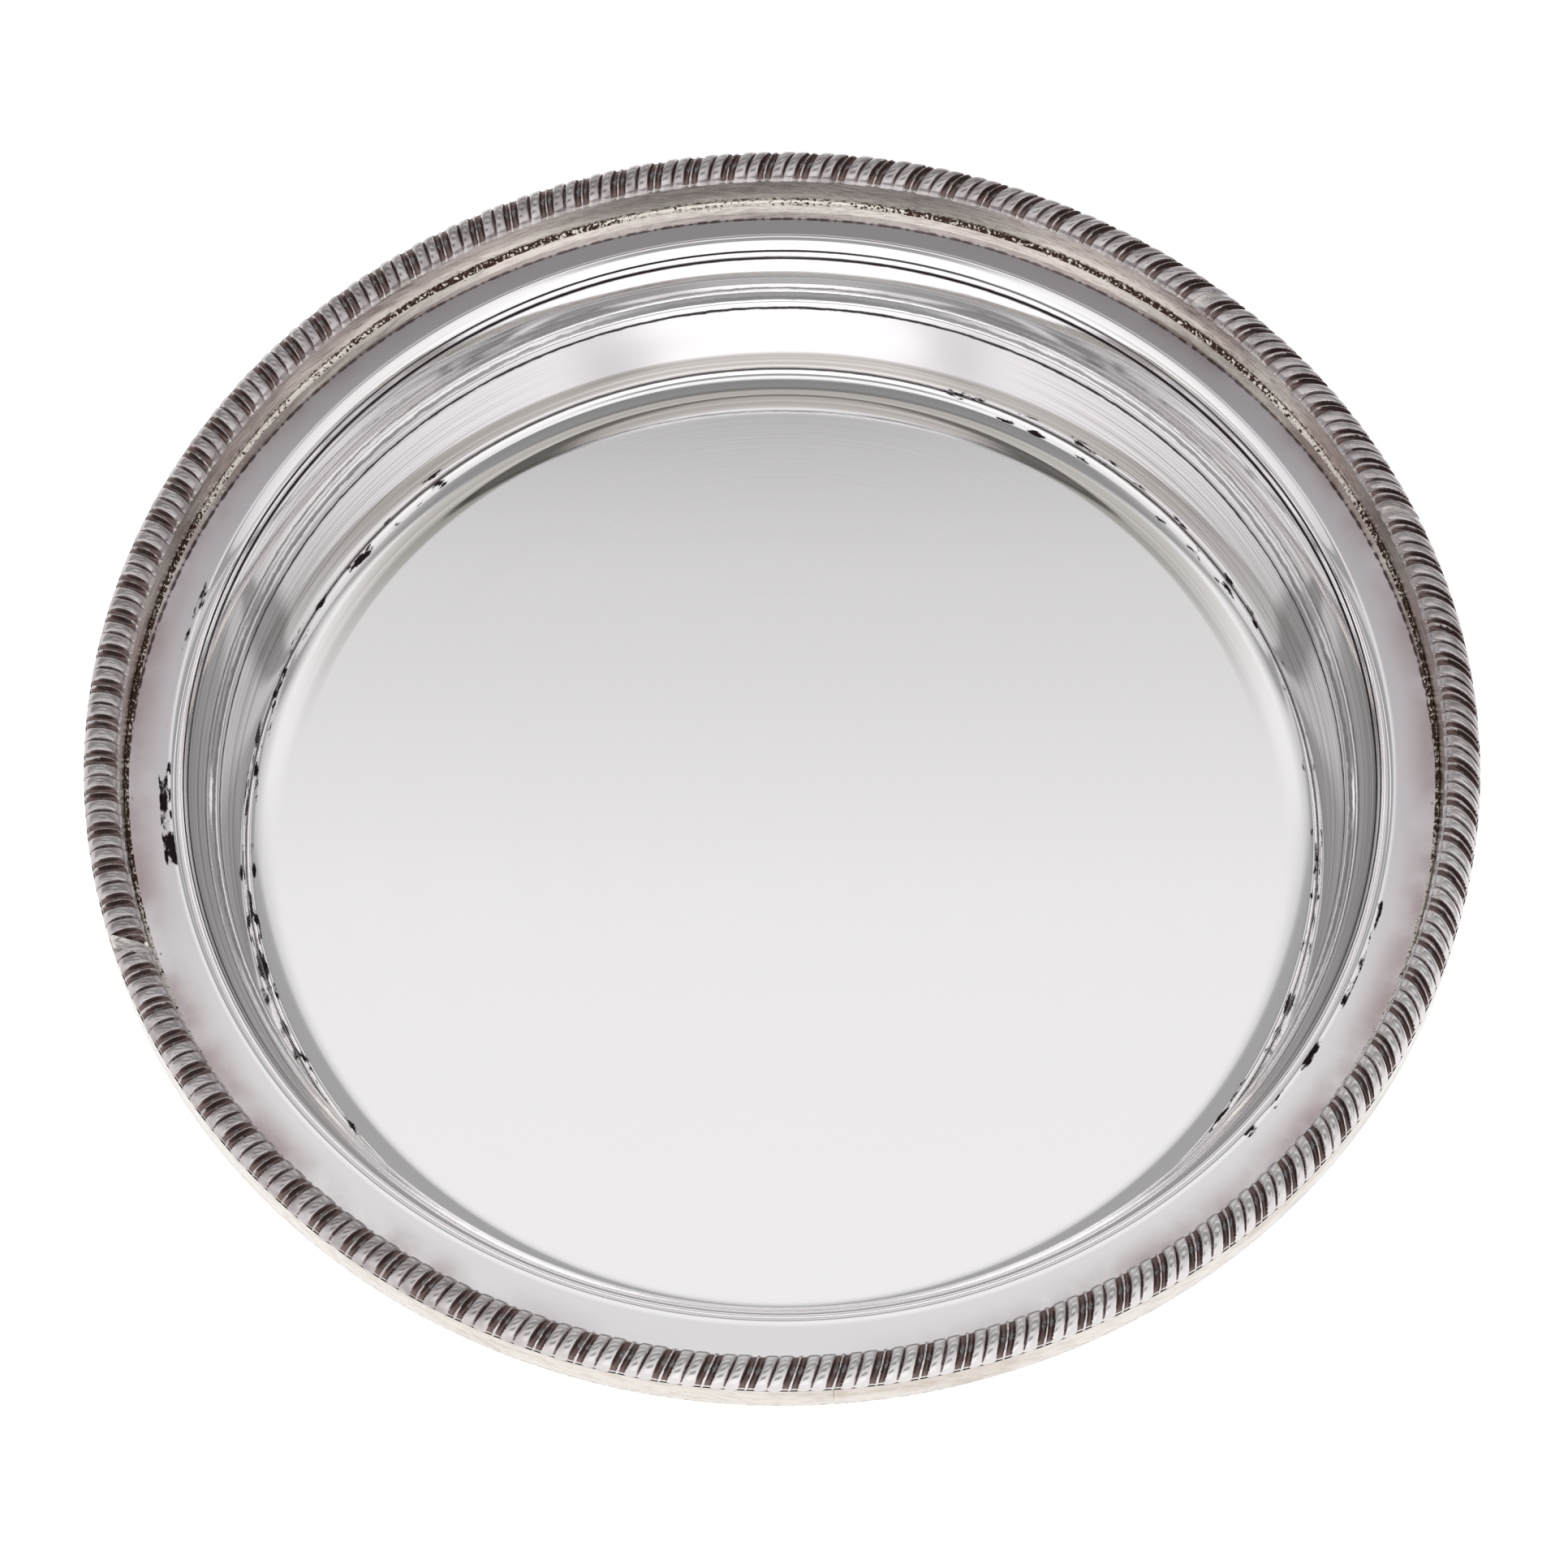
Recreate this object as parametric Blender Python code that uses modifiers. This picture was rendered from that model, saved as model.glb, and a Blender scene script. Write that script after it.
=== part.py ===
"""Offering plate: a deep silver-plated dish with a raised border of slanted gadroon lobes.

The dish is one spun sheet. Its flat flange carries two upright bands, the collars, and three stamped
lengths of gadroon strip close the top of them. Each strip is filled underneath with soft solder, and
small lumps of solder close the joints between the strips.

Metres, +Z up. The origin is the centre of the underside, so the plate stands on Z = 0.
Azimuths are degrees from +X towards +Y.
"""

import math

import bmesh
import bpy

# Overall sizes
OVERALL_RADIUS = 0.127
WELL_DEPTH = 0.0321
SHEET = 0.001

# Dish, from the flange inwards and down
FLANGE_WIDTH = 0.0085
SHOULDER_BEND = 0.0022
UPPER_WALL_RUN = 0.005
UPPER_WALL_DROP = 0.0096
LEDGE_RUN = 0.0021
LEDGE_DROP = 0.0023
LEDGE_BEND = 0.0016
LOWER_WALL_RUN = 0.0030
FLOOR_BEND = 0.004

# Collars between the flange and the gadroon strips
COLLAR_HEIGHT = 0.0066
COLLAR_LEAN = 0.0011
INNER_COLLAR_SHEET = 0.0006
OUTER_COLLAR_SHEET = 0.0008
COLLAR_BUTT_AZIMUTH = 274.0
COLLAR_BUTT_WIDTH = 0.0003

# Gadroon strips
STRIP_WIDTH = 0.0062
STRIP_CROWN = 0.0029
STRIP_SHEET = 0.00045
LOBE_PAIRS = 106
LOBE_SLANT = 2.2
FIRST_GROOVE_AZIMUTH = 1.0
GROOVE_HEIGHT = 0.84
WIDE_LOBE_HEIGHT = 1.0
RECESS_HEIGHT = 0.78
NARROW_LOBE_HEIGHT = 0.95

# Joints between the strips, and the solder in them
JOINT_AZIMUTHS = {"closing": 21.5, "right": 48.5, "left": 200.5}
JOINT_OPENING = 0.0026
JOINT_SOLDER_HEIGHT = 0.88
SEAM_LEG = 0.0008

# Fits
CONTACT_GAP = 0.0003

# Mesh fineness
RING_STEPS = 90
BEND_STEPS = 4

# Heights and radii that follow from the sizes above
FLANGE_TOP = SHEET + WELL_DEPTH
BORDER_BASE = FLANGE_TOP + COLLAR_HEIGHT
STRIP_INNER_RADIUS = OVERALL_RADIUS - STRIP_WIDTH
STRIP_MIDDLE_RADIUS = OVERALL_RADIUS - STRIP_WIDTH / 2
INNER_COLLAR_FOOT_RADIUS = STRIP_INNER_RADIUS - COLLAR_LEAN
DISH_EDGE_RADIUS = OVERALL_RADIUS - OUTER_COLLAR_SHEET - CONTACT_GAP
PAIR_PITCH = 360.0 / LOBE_PAIRS


def clear_scene():
    """Removes every object already in the scene."""
    for old in list(bpy.data.objects):
        bpy.data.objects.remove(old, do_unlink=True)


def new_collection(name):
    """A collection linked to the scene."""
    collection = bpy.data.collections.new(name)
    bpy.context.scene.collection.children.link(collection)
    return collection


def metal(name, colour, roughness):
    """A metal with its own colour and polish."""
    material = bpy.data.materials.new(name)
    material.use_nodes = True
    shader = material.node_tree.nodes["Principled BSDF"]
    shader.inputs["Base Color"].default_value = (*colour, 1.0)
    shader.inputs["Roughness"].default_value = roughness
    shader.inputs["Metallic"].default_value = 1.0
    return material


def new_object(name, mesh, collection, material):
    """An object for one sub-part, at the origin."""
    obj = bpy.data.objects.new(name, mesh)
    collection.objects.link(obj)
    if material:
        mesh.materials.append(material)
    return obj


def corner_arc(before, corner, after, radius):
    """Points of the arc that rounds one corner of a profile, as (radius, height) pairs."""
    to_before = math.atan2(before[1] - corner[1], before[0] - corner[0])
    to_after = math.atan2(after[1] - corner[1], after[0] - corner[0])
    between = (to_after - to_before + math.pi) % math.tau - math.pi
    half = abs(between) / 2
    middle = to_before + between / 2
    reach = radius / math.sin(half)
    centre = (corner[0] + reach * math.cos(middle), corner[1] + reach * math.sin(middle))
    sweep = math.copysign(math.pi - 2 * half, -between)
    start = middle + math.pi - sweep / 2
    return [
        (
            centre[0] + radius * math.cos(start + sweep * step / BEND_STEPS),
            centre[1] + radius * math.sin(start + sweep * step / BEND_STEPS),
        )
        for step in range(BEND_STEPS + 1)
    ]


def bent_profile(corners):
    """A polyline of (radius, height, bend) corners, with every bent corner rounded."""
    points = []
    for index, (radius, height, bend) in enumerate(corners):
        if bend:
            points += corner_arc(corners[index - 1], (radius, height), corners[index + 1], bend)
        else:
            points.append((radius, height))
    return points


def profile_mesh(name, points, closed):
    """Edges through (radius, height) points in the XZ plane."""
    mesh = bpy.data.meshes.new(name)
    shape = bmesh.new()
    verts = [shape.verts.new((radius, 0.0, height)) for radius, height in points]
    for first, second in zip(verts, verts[1:]):
        shape.edges.new((first, second))
    if closed:
        shape.edges.new((verts[-1], verts[0]))
    shape.to_mesh(mesh)
    shape.free()
    return mesh


def turn(obj):
    """Turns a profile about the Z axis."""
    screw = obj.modifiers.new("Turn", "SCREW")
    screw.axis = "Z"
    screw.angle = math.tau
    screw.steps = RING_STEPS
    screw.render_steps = RING_STEPS
    screw.use_merge_vertices = True
    screw.merge_threshold = 0.00001
    screw.use_smooth_shade = True


def dish_corners():
    """The dish's upper surface from the centre of the floor out to the flange's edge."""
    shoulder = INNER_COLLAR_FOOT_RADIUS - FLANGE_WIDTH
    ledge_top = shoulder - UPPER_WALL_RUN
    ledge_foot = ledge_top - LEDGE_RUN
    floor_edge = ledge_foot - LOWER_WALL_RUN
    ledge_height = FLANGE_TOP - UPPER_WALL_DROP
    return [
        (0.0, SHEET, 0.0),
        (floor_edge / 2, SHEET, 0.0),
        (floor_edge, SHEET, FLOOR_BEND),
        (ledge_foot, ledge_height - LEDGE_DROP, LEDGE_BEND),
        (ledge_top, ledge_height, LEDGE_BEND),
        (shoulder, FLANGE_TOP, SHOULDER_BEND),
        (DISH_EDGE_RADIUS, FLANGE_TOP, 0.0),
    ]


def build_dish(collection):
    """The spun dish: floor, stepped wall and flange in one sheet."""
    mesh = profile_mesh("dish_body", bent_profile(dish_corners()), closed=False)
    dish = new_object("dish_body", mesh, collection, metal("polished_silver_plate", (0.86, 0.85, 0.85), 0.07))
    turn(dish)
    thickness = dish.modifiers.new("Sheet", "SOLIDIFY")
    thickness.thickness = SHEET
    thickness.offset = -1.0
    thickness.use_even_offset = True
    thickness.use_quality_normals = True


def build_inner_collar(collection):
    """The leaning band between the flange and the strips' inner edge."""
    foot = FLANGE_TOP + CONTACT_GAP
    head = BORDER_BASE - CONTACT_GAP
    section = [
        (STRIP_INNER_RADIUS, head),
        (STRIP_INNER_RADIUS + INNER_COLLAR_SHEET, head),
        (INNER_COLLAR_FOOT_RADIUS + INNER_COLLAR_SHEET, foot),
        (INNER_COLLAR_FOOT_RADIUS, foot),
    ]
    mesh = profile_mesh("inner_collar", section, closed=True)
    turn(new_object("inner_collar", mesh, collection, metal("streaked_plate", (0.70, 0.68, 0.64), 0.2)))


def build_outer_collar(collection, cutters):
    """The outer band that hides the flange's edge: one strip of sheet bent round and butted."""
    head = BORDER_BASE - CONTACT_GAP
    foot = FLANGE_TOP - SHEET / 2
    round_off = OUTER_COLLAR_SHEET / 4
    section = [
        (OVERALL_RADIUS - OUTER_COLLAR_SHEET, head),
        (OVERALL_RADIUS, head),
        (OVERALL_RADIUS, foot + round_off),
        (OVERALL_RADIUS - round_off, foot),
        (OVERALL_RADIUS - OUTER_COLLAR_SHEET, foot),
    ]
    mesh = profile_mesh("outer_collar", section, closed=True)
    collar = new_object("outer_collar", mesh, collection, metal("satin_plate", (0.80, 0.77, 0.73), 0.28))
    turn(collar)

    slot = bpy.data.meshes.new("collar_butt_cutter")
    shape = bmesh.new()
    bmesh.ops.create_cube(shape, size=1.0)
    bmesh.ops.scale(shape, vec=(OUTER_COLLAR_SHEET * 6, COLLAR_BUTT_WIDTH, COLLAR_HEIGHT * 3), verts=shape.verts)
    shape.to_mesh(slot)
    shape.free()
    cutter = new_object("collar_butt_cutter", slot, cutters, None)
    azimuth = math.radians(COLLAR_BUTT_AZIMUTH)
    cutter.location = (OVERALL_RADIUS * math.cos(azimuth), OVERALL_RADIUS * math.sin(azimuth), (head + foot) / 2)
    cutter.rotation_euler = (0.0, 0.0, azimuth)
    cutter.hide_render = True
    cutter.display_type = "WIRE"
    butt = collar.modifiers.new("Butt", "BOOLEAN")
    butt.operation = "DIFFERENCE"
    butt.solver = "EXACT"
    butt.object = cutter


def build_inner_seam(collection):
    """The run of solder in the corner between the flange and the inner collar."""
    foot = FLANGE_TOP + CONTACT_GAP
    outer = INNER_COLLAR_FOOT_RADIUS - CONTACT_GAP
    section = [(outer, foot + SEAM_LEG), (outer, foot), (outer - SEAM_LEG, foot)]
    mesh = profile_mesh("inner_seam_solder", section, closed=True)
    turn(new_object("inner_seam_solder", mesh, collection, metal("brown_solder", (0.30, 0.24, 0.20), 0.55)))


def lobe_height(azimuth):
    """The crown's share of full height at an azimuth, along one groove, wide lobe, recess and narrow lobe."""
    stages = [
        (0.0, GROOVE_HEIGHT),
        (0.19, WIDE_LOBE_HEIGHT),
        (0.48, RECESS_HEIGHT),
        (0.76, NARROW_LOBE_HEIGHT),
        (1.0, GROOVE_HEIGHT),
    ]
    share = ((azimuth - FIRST_GROOVE_AZIMUTH) / PAIR_PITCH) % 1.0
    for (start, low), (end, high) in zip(stages, stages[1:]):
        if share <= end:
            return low + (high - low) * (share - start) / (end - start)
    return GROOVE_HEIGHT


def stations(start, end, shares):
    """Azimuths from start to end with one at each share of every lobe pair between them."""
    shortest = PAIR_PITCH / 12
    first_pair = math.floor((start - FIRST_GROOVE_AZIMUTH) / PAIR_PITCH)
    last_pair = math.ceil((end - FIRST_GROOVE_AZIMUTH) / PAIR_PITCH)
    found = [
        FIRST_GROOVE_AZIMUTH + (pair + share) * PAIR_PITCH
        for pair in range(first_pair, last_pair + 1)
        for share in shares
    ]
    return [start] + [a for a in found if start + shortest < a < end - shortest] + [end]


def slanted_point(azimuth, radius, height):
    """A point of the border, where every cross-section leans along with the lobes."""
    lean = LOBE_SLANT * (STRIP_MIDDLE_RADIUS - radius) / STRIP_WIDTH
    angle = math.radians(azimuth + lean)
    return (radius * math.cos(angle), radius * math.sin(angle), height)


def end_cap(shape, outer, inner):
    """Closes one end of a lofted piece: across a solid section, or between the two skins of a hollow one."""
    if not inner:
        shape.faces.new(outer)
        return
    for index in range(len(outer) - 1):
        shape.faces.new((outer[index], outer[index + 1], inner[index + 1], inner[index]))


def loft(name, azimuths, section_at, collection, material):
    """A solid swept along part of the border through the outer and inner line of the section at each azimuth."""
    mesh = bpy.data.meshes.new(name)
    shape = bmesh.new()
    stops = []
    for azimuth in azimuths:
        outer, inner = section_at(azimuth)
        stops.append(
            [[shape.verts.new(slanted_point(azimuth, *point)) for point in line] for line in (outer, inner)]
        )
    rings = [outer + inner[::-1] for outer, inner in stops]
    for ring, following in zip(rings, rings[1:]):
        for index in range(len(ring)):
            after = (index + 1) % len(ring)
            shape.faces.new((ring[index], following[index], following[after], ring[after]))
    end_cap(shape, *stops[0])
    end_cap(shape, *stops[-1])
    bmesh.ops.recalc_face_normals(shape, faces=shape.faces)
    shape.to_mesh(mesh)
    shape.free()
    mesh.shade_smooth()
    mesh.set_sharp_from_angle(angle=math.radians(40))
    return new_object(name, mesh, collection, material)


def half_round(half_width, crown, steps):
    """A half-round line over the border's base, as (radius, height) points from its outer foot to its inner."""
    return [
        (
            STRIP_MIDDLE_RADIUS + half_width * math.cos(math.pi * step / steps),
            BORDER_BASE + crown * math.sin(math.pi * step / steps),
        )
        for step in range(steps + 1)
    ]


def strip_section(azimuth):
    """The stamped strip: a half-round skin of even thickness, open underneath."""
    half = STRIP_WIDTH / 2
    crown = STRIP_CROWN * lobe_height(azimuth)
    return half_round(half, crown, 4), half_round(half - STRIP_SHEET, crown - STRIP_SHEET, 4)


def filling_section(_azimuth):
    """The solder filling, clear of the strip's hollow where that is lowest."""
    clearance = STRIP_SHEET + CONTACT_GAP * 1.1
    return half_round(STRIP_WIDTH / 2 - clearance, STRIP_CROWN * RECESS_HEIGHT - clearance, 4), []


def joint_section(_azimuth):
    """The solder that fills a joint between two strips, a little lower than their lobes."""
    return half_round(STRIP_WIDTH / 2, STRIP_CROWN * JOINT_SOLDER_HEIGHT, 6), []


def build_border(collection):
    """The three gadroon strips, their fillings and the solder between their ends."""
    opening = math.degrees(JOINT_OPENING / STRIP_MIDDLE_RADIUS) / 2
    gap = math.degrees(CONTACT_GAP * 1.3 / STRIP_INNER_RADIUS)
    spans = {
        "middle": (JOINT_AZIMUTHS["right"], JOINT_AZIMUTHS["left"]),
        "long": (JOINT_AZIMUTHS["left"], JOINT_AZIMUTHS["closing"] + 360.0),
        "short": (JOINT_AZIMUTHS["closing"], JOINT_AZIMUTHS["right"]),
    }
    stamped = metal("stamped_plate", (0.74, 0.72, 0.72), 0.25)
    filling = metal("grey_soft_solder", (0.45, 0.45, 0.46), 0.5)
    joint = metal("bright_soft_solder", (0.62, 0.61, 0.60), 0.4)
    for name, (start, end) in spans.items():
        lobed = stations(start + opening, end - opening, (0.0, 0.19, 0.48, 0.76))
        loft(f"gadroon_strip_{name}", lobed, strip_section, collection, stamped.copy())
        plain = stations(start + opening, end - opening, (0.0,))
        loft(f"strip_filling_{name}", plain, filling_section, collection, filling.copy())
    for name, azimuth in JOINT_AZIMUTHS.items():
        reach = opening - gap
        across = [azimuth - reach, azimuth, azimuth + reach]
        loft(f"joint_solder_{name}", across, joint_section, collection, joint.copy())


def main():
    """Builds every sub-part of the plate."""
    clear_scene()
    plate = new_collection("offering_plate")
    cutters = new_collection("offering_plate_cutters")
    build_dish(plate)
    build_inner_collar(plate)
    build_outer_collar(plate, cutters)
    build_inner_seam(plate)
    build_border(plate)


main()
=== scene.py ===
"""A silver-plated offering plate, dressed for a soft white studio.

The plate is a deep spun dish with a flat flange. Two upright collars stand on the flange, and three lengths of
gadroon strip, stamped with slanted pairs of lobes, close the border on top of them. Everything is in metres, and
the plate stands on Z = 0 with its axis on Z.
"""

import logging
import math
from collections.abc import Callable, Iterable
from dataclasses import dataclass, field
from enum import Enum
from functools import reduce
from typing import Any

import bmesh
import bpy
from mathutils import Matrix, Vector, noise

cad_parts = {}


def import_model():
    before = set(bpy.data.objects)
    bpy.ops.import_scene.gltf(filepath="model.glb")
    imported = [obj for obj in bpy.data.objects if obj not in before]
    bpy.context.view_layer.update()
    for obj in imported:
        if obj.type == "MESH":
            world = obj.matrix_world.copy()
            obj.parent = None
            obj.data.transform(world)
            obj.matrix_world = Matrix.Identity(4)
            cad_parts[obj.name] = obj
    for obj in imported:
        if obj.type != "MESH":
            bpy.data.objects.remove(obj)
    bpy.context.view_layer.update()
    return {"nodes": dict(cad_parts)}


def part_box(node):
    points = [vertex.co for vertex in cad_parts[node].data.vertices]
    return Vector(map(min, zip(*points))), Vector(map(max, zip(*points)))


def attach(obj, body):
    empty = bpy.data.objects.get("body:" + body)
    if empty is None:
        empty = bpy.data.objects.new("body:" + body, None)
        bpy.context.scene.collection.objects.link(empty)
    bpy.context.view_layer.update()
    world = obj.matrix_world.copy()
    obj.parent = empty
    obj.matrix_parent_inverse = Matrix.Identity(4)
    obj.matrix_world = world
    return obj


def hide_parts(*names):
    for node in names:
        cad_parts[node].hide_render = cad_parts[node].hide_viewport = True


log = logging.getLogger("offering_plate")

MM = 0.001
Tree = bpy.types.NodeTree
Socket = bpy.types.NodeSocket
Material = bpy.types.Material
Mesh = bpy.types.Mesh
Point = tuple[float, float]


class Slot(Enum):
    """Names for the kinds of finish that the pieces are made with."""

    POLISHED = "polished_plate"
    STREAKED = "streaked_plate"
    SATIN = "satin_plate"
    BROWN_SOLDER = "brown_solder"
    STAMPED = "stamped_plate"
    BRIGHT_SOLDER = "bright_solder"


class Strip(Enum):
    """The three lengths of gadroon strip, in the order they were soldered on."""

    LONG = "long"
    MIDDLE = "middle"
    SHORT = "short"


# ---- node helpers


def linear(code: str) -> tuple[float, ...]:
    """Turns an sRGB hex colour to linear red, green, blue and an alpha of 1."""
    channels = [int(code[place : place + 2], 16) / 255 for place in (1, 3, 5)]
    return (*(c / 12.92 if c <= 0.04045 else ((c + 0.055) / 1.055) ** 2.4 for c in channels), 1.0)


def add(tree: Tree, kind: str, inputs: dict[Any, Any] | None = None, **settings: Any) -> bpy.types.Node:
    """Adds one node with its settings, values and links.

    Args:
        tree: the node tree.
        kind: the node's type name.
        inputs: socket name or index to a value, or to the number or output socket that feeds it.
        **settings: the node's own properties.

    Returns:
        The new node.
    """
    node = tree.nodes.new(kind)
    for name, value in settings.items():
        setattr(node, name, value)
    for name, value in (inputs or {}).items():
        source = value.socket if isinstance(value, Number) else value
        if isinstance(source, bpy.types.NodeSocket):
            tree.links.new(source, node.inputs[name])
        else:
            node.inputs[name].default_value = source
    return node


@dataclass(frozen=True)
class Number:
    """A number that a node tree works out. Python's own arithmetic on it adds the nodes."""

    socket: Socket

    def step(self, operation: str, *terms: "Number | float") -> "Number":
        """One step of arithmetic that starts from this number."""
        tree, inputs = self.socket.id_data, dict(enumerate((self, *terms)))
        return Number(add(tree, "ShaderNodeMath", inputs, operation=operation).outputs[0])

    def __add__(self, other: "Number | float") -> "Number":
        """This number plus another."""
        return self.step("ADD", other)

    def __sub__(self, other: "Number | float") -> "Number":
        """This number less another."""
        return self.step("SUBTRACT", other)

    def __rsub__(self, other: float) -> "Number":
        """A plain number less this one."""
        return self.step("MULTIPLY_ADD", -1.0, other)

    def __mul__(self, other: "Number | float") -> "Number":
        """This number times another."""
        return self.step("MULTIPLY", other)

    def __truediv__(self, other: "Number | float") -> "Number":
        """This number over another."""
        return self.step("DIVIDE", other)

    def ramp(self, low: float, high: float, start: float = 0.0, end: float = 1.0) -> "Number":
        """Goes smoothly from start, where this number is low, to end, where it is high."""
        tree, inputs = self.socket.id_data, dict(enumerate((self, low, high, start, end)))
        return Number(add(tree, "ShaderNodeMapRange", inputs, interpolation_type="SMOOTHSTEP").outputs[0])

    def within(self, low: float, high: float, soft: float) -> "Number":
        """A mask that is 1 where this number lies between two levels, and fades over soft beyond them."""
        return self.ramp(low - soft, low) * self.ramp(high, high + soft, 1.0, 0.0)

    def blend(self, first: Any, second: Any) -> Socket:
        """Mixes two colours, given as hex or as sockets: this number is how much of the second shows."""
        first, second = (linear(c) if isinstance(c, str) else c for c in (first, second))
        return add(self.socket.id_data, "ShaderNodeMix", {0: self, 6: first, 7: second}, data_type="RGBA").outputs[2]


def strongest(masks: Iterable[Number]) -> Number:
    """The highest of several numbers at each point."""
    return reduce(lambda first, second: first.step("MAXIMUM", second), masks)


def combine(tree: Tree, *parts: Number | float) -> Socket:
    """A vector of three parts."""
    return add(tree, "ShaderNodeCombineXYZ", dict(enumerate(parts))).outputs[0]


def swept(radius: Number, angle: Number, level: Number) -> Socket:
    """The place at a radius, an angle in radians and a height."""
    return combine(angle.socket.id_data, radius * angle.step("COSINE"), radius * angle.step("SINE"), level)


@dataclass
class RoundCoordinates:
    """Where a shaded point lies on a turned piece: its radius, its height and its direction from the axis."""

    tree: Tree
    radius: Number = field(init=False)
    height: Number = field(init=False)
    outward: Socket = field(init=False)
    place: Socket = field(init=False)

    def __post_init__(self) -> None:
        """Builds the nodes that measure the point, on Object coordinates."""
        self.place = add(self.tree, "ShaderNodeTexCoord").outputs["Object"]
        flat = self.vector("MULTIPLY", {0: self.place, 1: (1.0, 1.0, 0.0)}).outputs[0]
        self.radius = Number(self.vector("LENGTH", {0: flat}).outputs["Value"])
        self.outward = self.vector("NORMALIZE", {0: flat}).outputs[0]
        self.height = Number(add(self.tree, "ShaderNodeSeparateXYZ", {0: self.place}).outputs["Z"])

    def vector(self, operation: str, inputs: dict[Any, Any]) -> bpy.types.Node:
        """One step of vector arithmetic."""
        return add(self.tree, "ShaderNodeVectorMath", inputs, operation=operation)

    def near(self, azimuth: float, half_width: float, soft: float) -> Number:
        """A mask that is 1 within an angle of an azimuth.

        Args:
            azimuth: degrees from +X towards +Y.
            half_width: degrees on each side where the mask is full.
            soft: degrees over which it fades.

        Returns:
            The mask.
        """
        angle = math.radians(azimuth)
        way = (math.cos(angle), math.sin(angle), 0.0)
        towards = Number(self.vector("DOT_PRODUCT", {0: self.outward, 1: way}).outputs["Value"])
        faded = math.cos(math.radians(min(180.0, half_width + soft)))
        return towards.ramp(faded, math.cos(math.radians(half_width)))

    def noise(self, vector: Socket, scale: float, detail: float, roughness: float = 0.5) -> Number:
        """Noise from 0 to 1, read at a vector."""
        inputs = {"Vector": vector, "Scale": scale, "Detail": detail, "Roughness": roughness}
        return Number(add(self.tree, "ShaderNodeTexNoise", inputs).outputs[0])

    def streaks(self, along: float, across: float, detail: float = 3.0, seed: float = 0.0) -> Number:
        """Noise drawn out round the axis, as polishing and wiping on a lathe leave it.

        Args:
            along: patches per turn, roughly.
            across: patches per metre of radius or height.
            detail: finer octaves of the noise.
            seed: shifts the pattern.

        Returns:
            The noise, from 0 to 1.
        """
        turned = self.vector("SCALE", {0: self.outward, "Scale": along / math.tau}).outputs[0]
        lifted = combine(self.tree, seed, seed * 0.7, (self.radius + self.height) * across)
        return self.noise(self.vector("ADD", {0: turned, 1: lifted}).outputs[0], 1.0, detail, 0.6)

    def grain(self, size: float, detail: float = 3.0) -> Number:
        """Even noise with patches of one size in metres."""
        return self.noise(self.place, 1 / size, detail)


def new_material(name: str) -> tuple[Material, RoundCoordinates]:
    """A bare metal material.

    Args:
        name: the real material's name.

    Returns:
        The material, and the coordinates that its pattern is drawn in.
    """
    material = bpy.data.materials.new(name)
    material.use_nodes = True
    material.node_tree.nodes["Principled BSDF"].inputs["Metallic"].default_value = 1.0
    return material, RoundCoordinates(material.node_tree)


def shade(material: Material, colour: Socket, gloss: Number, relief: Number, strength: float, depth: float) -> Material:
    """Feeds a material's shader.

    Args:
        material: the material.
        colour: its colour.
        gloss: its roughness.
        relief: the height of its fine relief, from 0 to 1.
        strength: how strongly the relief shows.
        depth: the relief's depth in metres.

    Returns:
        The material.
    """
    tree = material.node_tree
    bump = add(tree, "ShaderNodeBump", {"Height": relief, "Strength": strength, "Distance": depth}).outputs[0]
    for name, source in (("Base Color", colour), ("Roughness", gloss.socket), ("Normal", bump)):
        tree.links.new(source, tree.nodes["Principled BSDF"].inputs[name])
    return material


# ---- finishes


@dataclass(frozen=True)
class TarnishPatch:
    """One place where brown-black sulphide tarnish was never polished off."""

    azimuth: float
    half_width: float
    low: float
    high: float
    amount: float
    by_height: bool


@dataclass(frozen=True)
class PaintedReflectionLine:
    """One dark line that runs round the wall, painted into the colour: it stands for a dark reflection."""

    height: float
    half_width: float
    amount: float
    waver: float


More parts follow.
